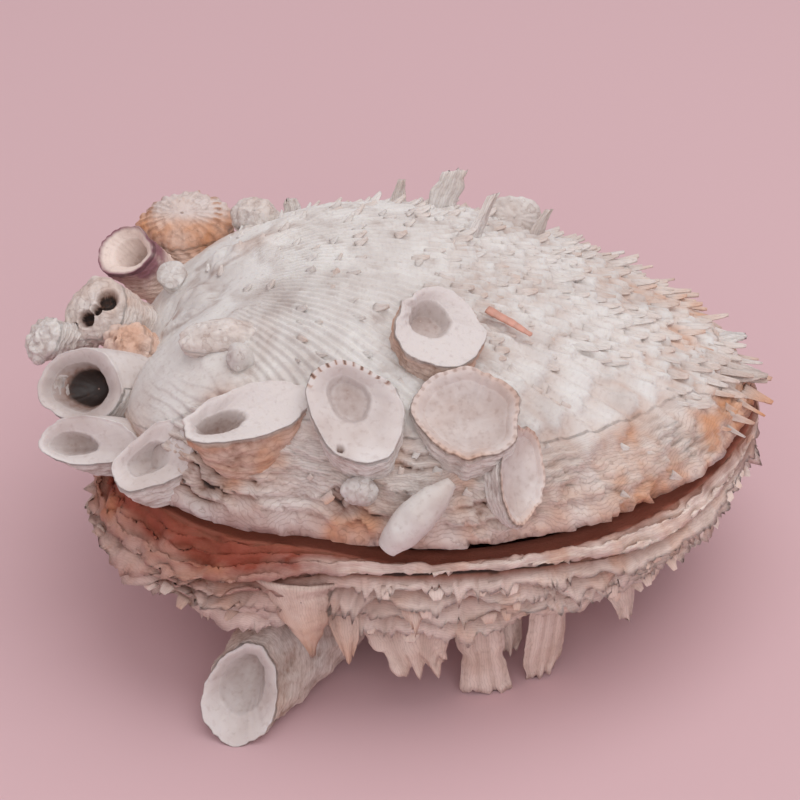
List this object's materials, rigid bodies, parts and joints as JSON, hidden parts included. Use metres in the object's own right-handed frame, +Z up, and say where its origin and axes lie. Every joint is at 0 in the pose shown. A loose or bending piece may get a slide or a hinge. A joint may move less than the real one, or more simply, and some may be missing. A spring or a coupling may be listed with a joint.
{
  "type": "spiny oyster shell",
  "caption": "Closed spiny oyster shell with worn ribs, long spines, ragged frills and jewel box shells grown on it, resting on its frills.",
  "frame": {"origin": "middle of the footprint box, on the surface that the shell stands on", "axes": "+X from the hinge end to the far edge of the valves, +Z up through the upper valve, -Y towards the side with the jewel box shells"},
  "size_m": [0.1643, 0.1336, 0.0834],
  "materials": {
    "chalk_shell": "chalky, worn, off-white with beige and orange stains",
    "layered_shell": "layered, ragged, pinkish beige with brown in the cracks",
    "porcelain_shell": "smooth lavender-white inside, chalky outside",
    "stained_shell": "rough, layered, stained orange and pink",
    "purple_shell_wall": "chalky with a purple-brown rim",
    "worm_chalk": "smooth chalk white",
    "salmon_shell": "smooth salmon pink, streaked"
  },
  "bodies": {
    "root": {"upper_valve": "chalk_shell", "lower_valve": "layered_shell", "great_cup": "porcelain_shell", "shelf_cup": "porcelain_shell", "corner_cup": "porcelain_shell", "long_cup": "stained_shell", "middle_cup": "porcelain_shell", "upper_cup": "stained_shell", "right_cup": "porcelain_shell", "wing_shell": "porcelain_shell", "bottom_cup": "porcelain_shell", "rough_lump": "stained_shell", "spotted_shell": "chalk_shell", "purple_shell": "purple_shell_wall", "rust_shell": "stained_shell", "left_lump": "chalk_shell", "long_shell": "chalk_shell", "white_knob": "worm_chalk", "flat_disc": "chalk_shell", "beige_crust": "chalk_shell", "fan_shell": "chalk_shell", "white_lump": "worm_chalk", "worm_tube": "worm_chalk", "pink_sliver": "salmon_shell", "hanging_shard": "stained_shell"}
  },
  "joints": []
}
